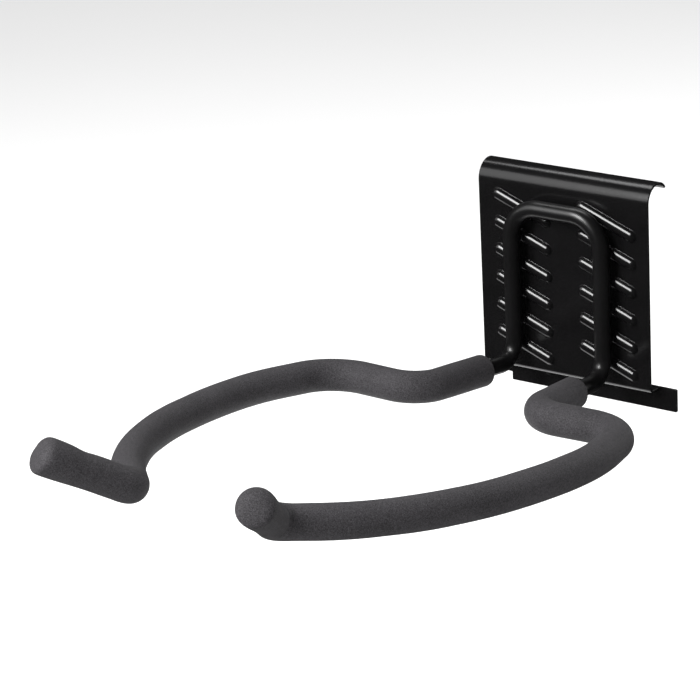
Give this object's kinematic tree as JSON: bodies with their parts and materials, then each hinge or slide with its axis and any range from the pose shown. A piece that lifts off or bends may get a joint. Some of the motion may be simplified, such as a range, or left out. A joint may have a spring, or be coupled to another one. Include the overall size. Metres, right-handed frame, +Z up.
{
  "type": "bicycle wall rack",
  "caption": "Wall-rail bicycle cradle: pressed steel plate with a rolled top hook and sliding lock bar, and two curved foam-sleeved tube arms.",
  "frame": {"origin": "centre of the back plate's flat back face, which bears on the rail", "axes": "+X to the right as one faces the wall, +Y into the wall, +Z up; the arms run out along -Y"},
  "size_m": [0.2578, 0.4217, 0.1427],
  "materials": {
    "black_sheet": "semi-gloss black powder coat on pressed sheet steel",
    "black_tube": "semi-gloss black powder coat on bent steel tube",
    "grey_foam": "matte charcoal closed-cell foam, fine speckle",
    "plug_plastic": "matte black moulded plastic",
    "pin_steel": "black coated steel"
  },
  "bodies": {
    "rack": {"back_plate": "black_sheet", "cradle_tube": "black_tube", "weld_beads": "black_tube", "foam_sleeve_right": "grey_foam", "foam_sleeve_left": "grey_foam", "tube_plugs": "plug_plastic"},
    "lock_bar": {"lock_bar": "black_sheet", "lock_pins": "pin_steel"}
  },
  "joints": [
    {"name": "lock_slide", "type": "slide", "parent": "rack", "child": "lock_bar", "axis": [-0.9806, 0, -0.1961], "range_m": [0, 0.0122]}
  ]
}
